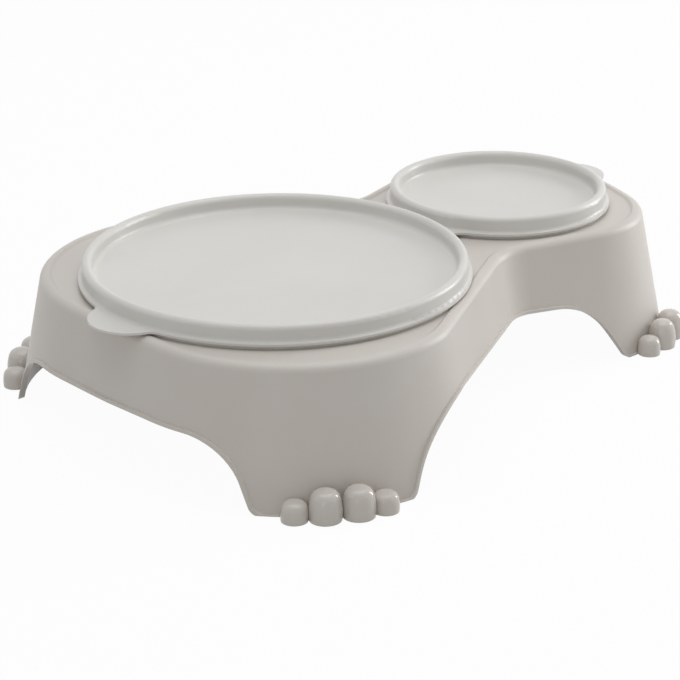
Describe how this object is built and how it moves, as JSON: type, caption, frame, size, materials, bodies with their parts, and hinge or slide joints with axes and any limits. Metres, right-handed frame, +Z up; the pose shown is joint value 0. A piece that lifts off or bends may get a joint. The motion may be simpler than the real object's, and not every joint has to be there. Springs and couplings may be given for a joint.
{
  "type": "double pet food bowl",
  "caption": "Raised pet food bowl stand on toed paw legs, with a large and a small round bowl hung in its deck and one joined press-on lid with a lift tab at each end.",
  "frame": {"origin": "on the floor, under the middle of the whole object's length and width", "axes": "+Z up; +X along the length, from the large bowl to the small bowl; the front long side looks to -Y"},
  "size_m": [0.3648, 0.2792, 0.0824],
  "materials": {
    "stand_plastic": "satin",
    "bowl_plastic": "gloss",
    "lid_plastic": "satin",
    "foot_rubber": "matte"
  },
  "bodies": {
    "stand": {"stand": "stand_plastic", "foot_front_large": "foot_rubber", "foot_front_small": "foot_rubber", "foot_rear_large": "foot_rubber", "foot_rear_small": "foot_rubber"},
    "large_bowl": {"large_bowl": "bowl_plastic"},
    "small_bowl": {"small_bowl": "bowl_plastic"},
    "double_lid": {"double_lid": "lid_plastic"}
  },
  "joints": [
    {"name": "large_bowl_lift", "type": "slide", "parent": "stand", "child": "large_bowl", "axis": [0, 0, 1], "range_m": [0, 0.07]},
    {"name": "small_bowl_lift", "type": "slide", "parent": "stand", "child": "small_bowl", "axis": [0, 0, 1], "range_m": [0, 0.07]},
    {"name": "lid_lift", "type": "slide", "parent": "large_bowl", "child": "double_lid", "axis": [0, 0, 1], "range_m": [0, 0.06]}
  ],
  "couplings": [
    {"joint": "small_bowl_lift", "follows": "large_bowl_lift", "ratio": 1}
  ]
}
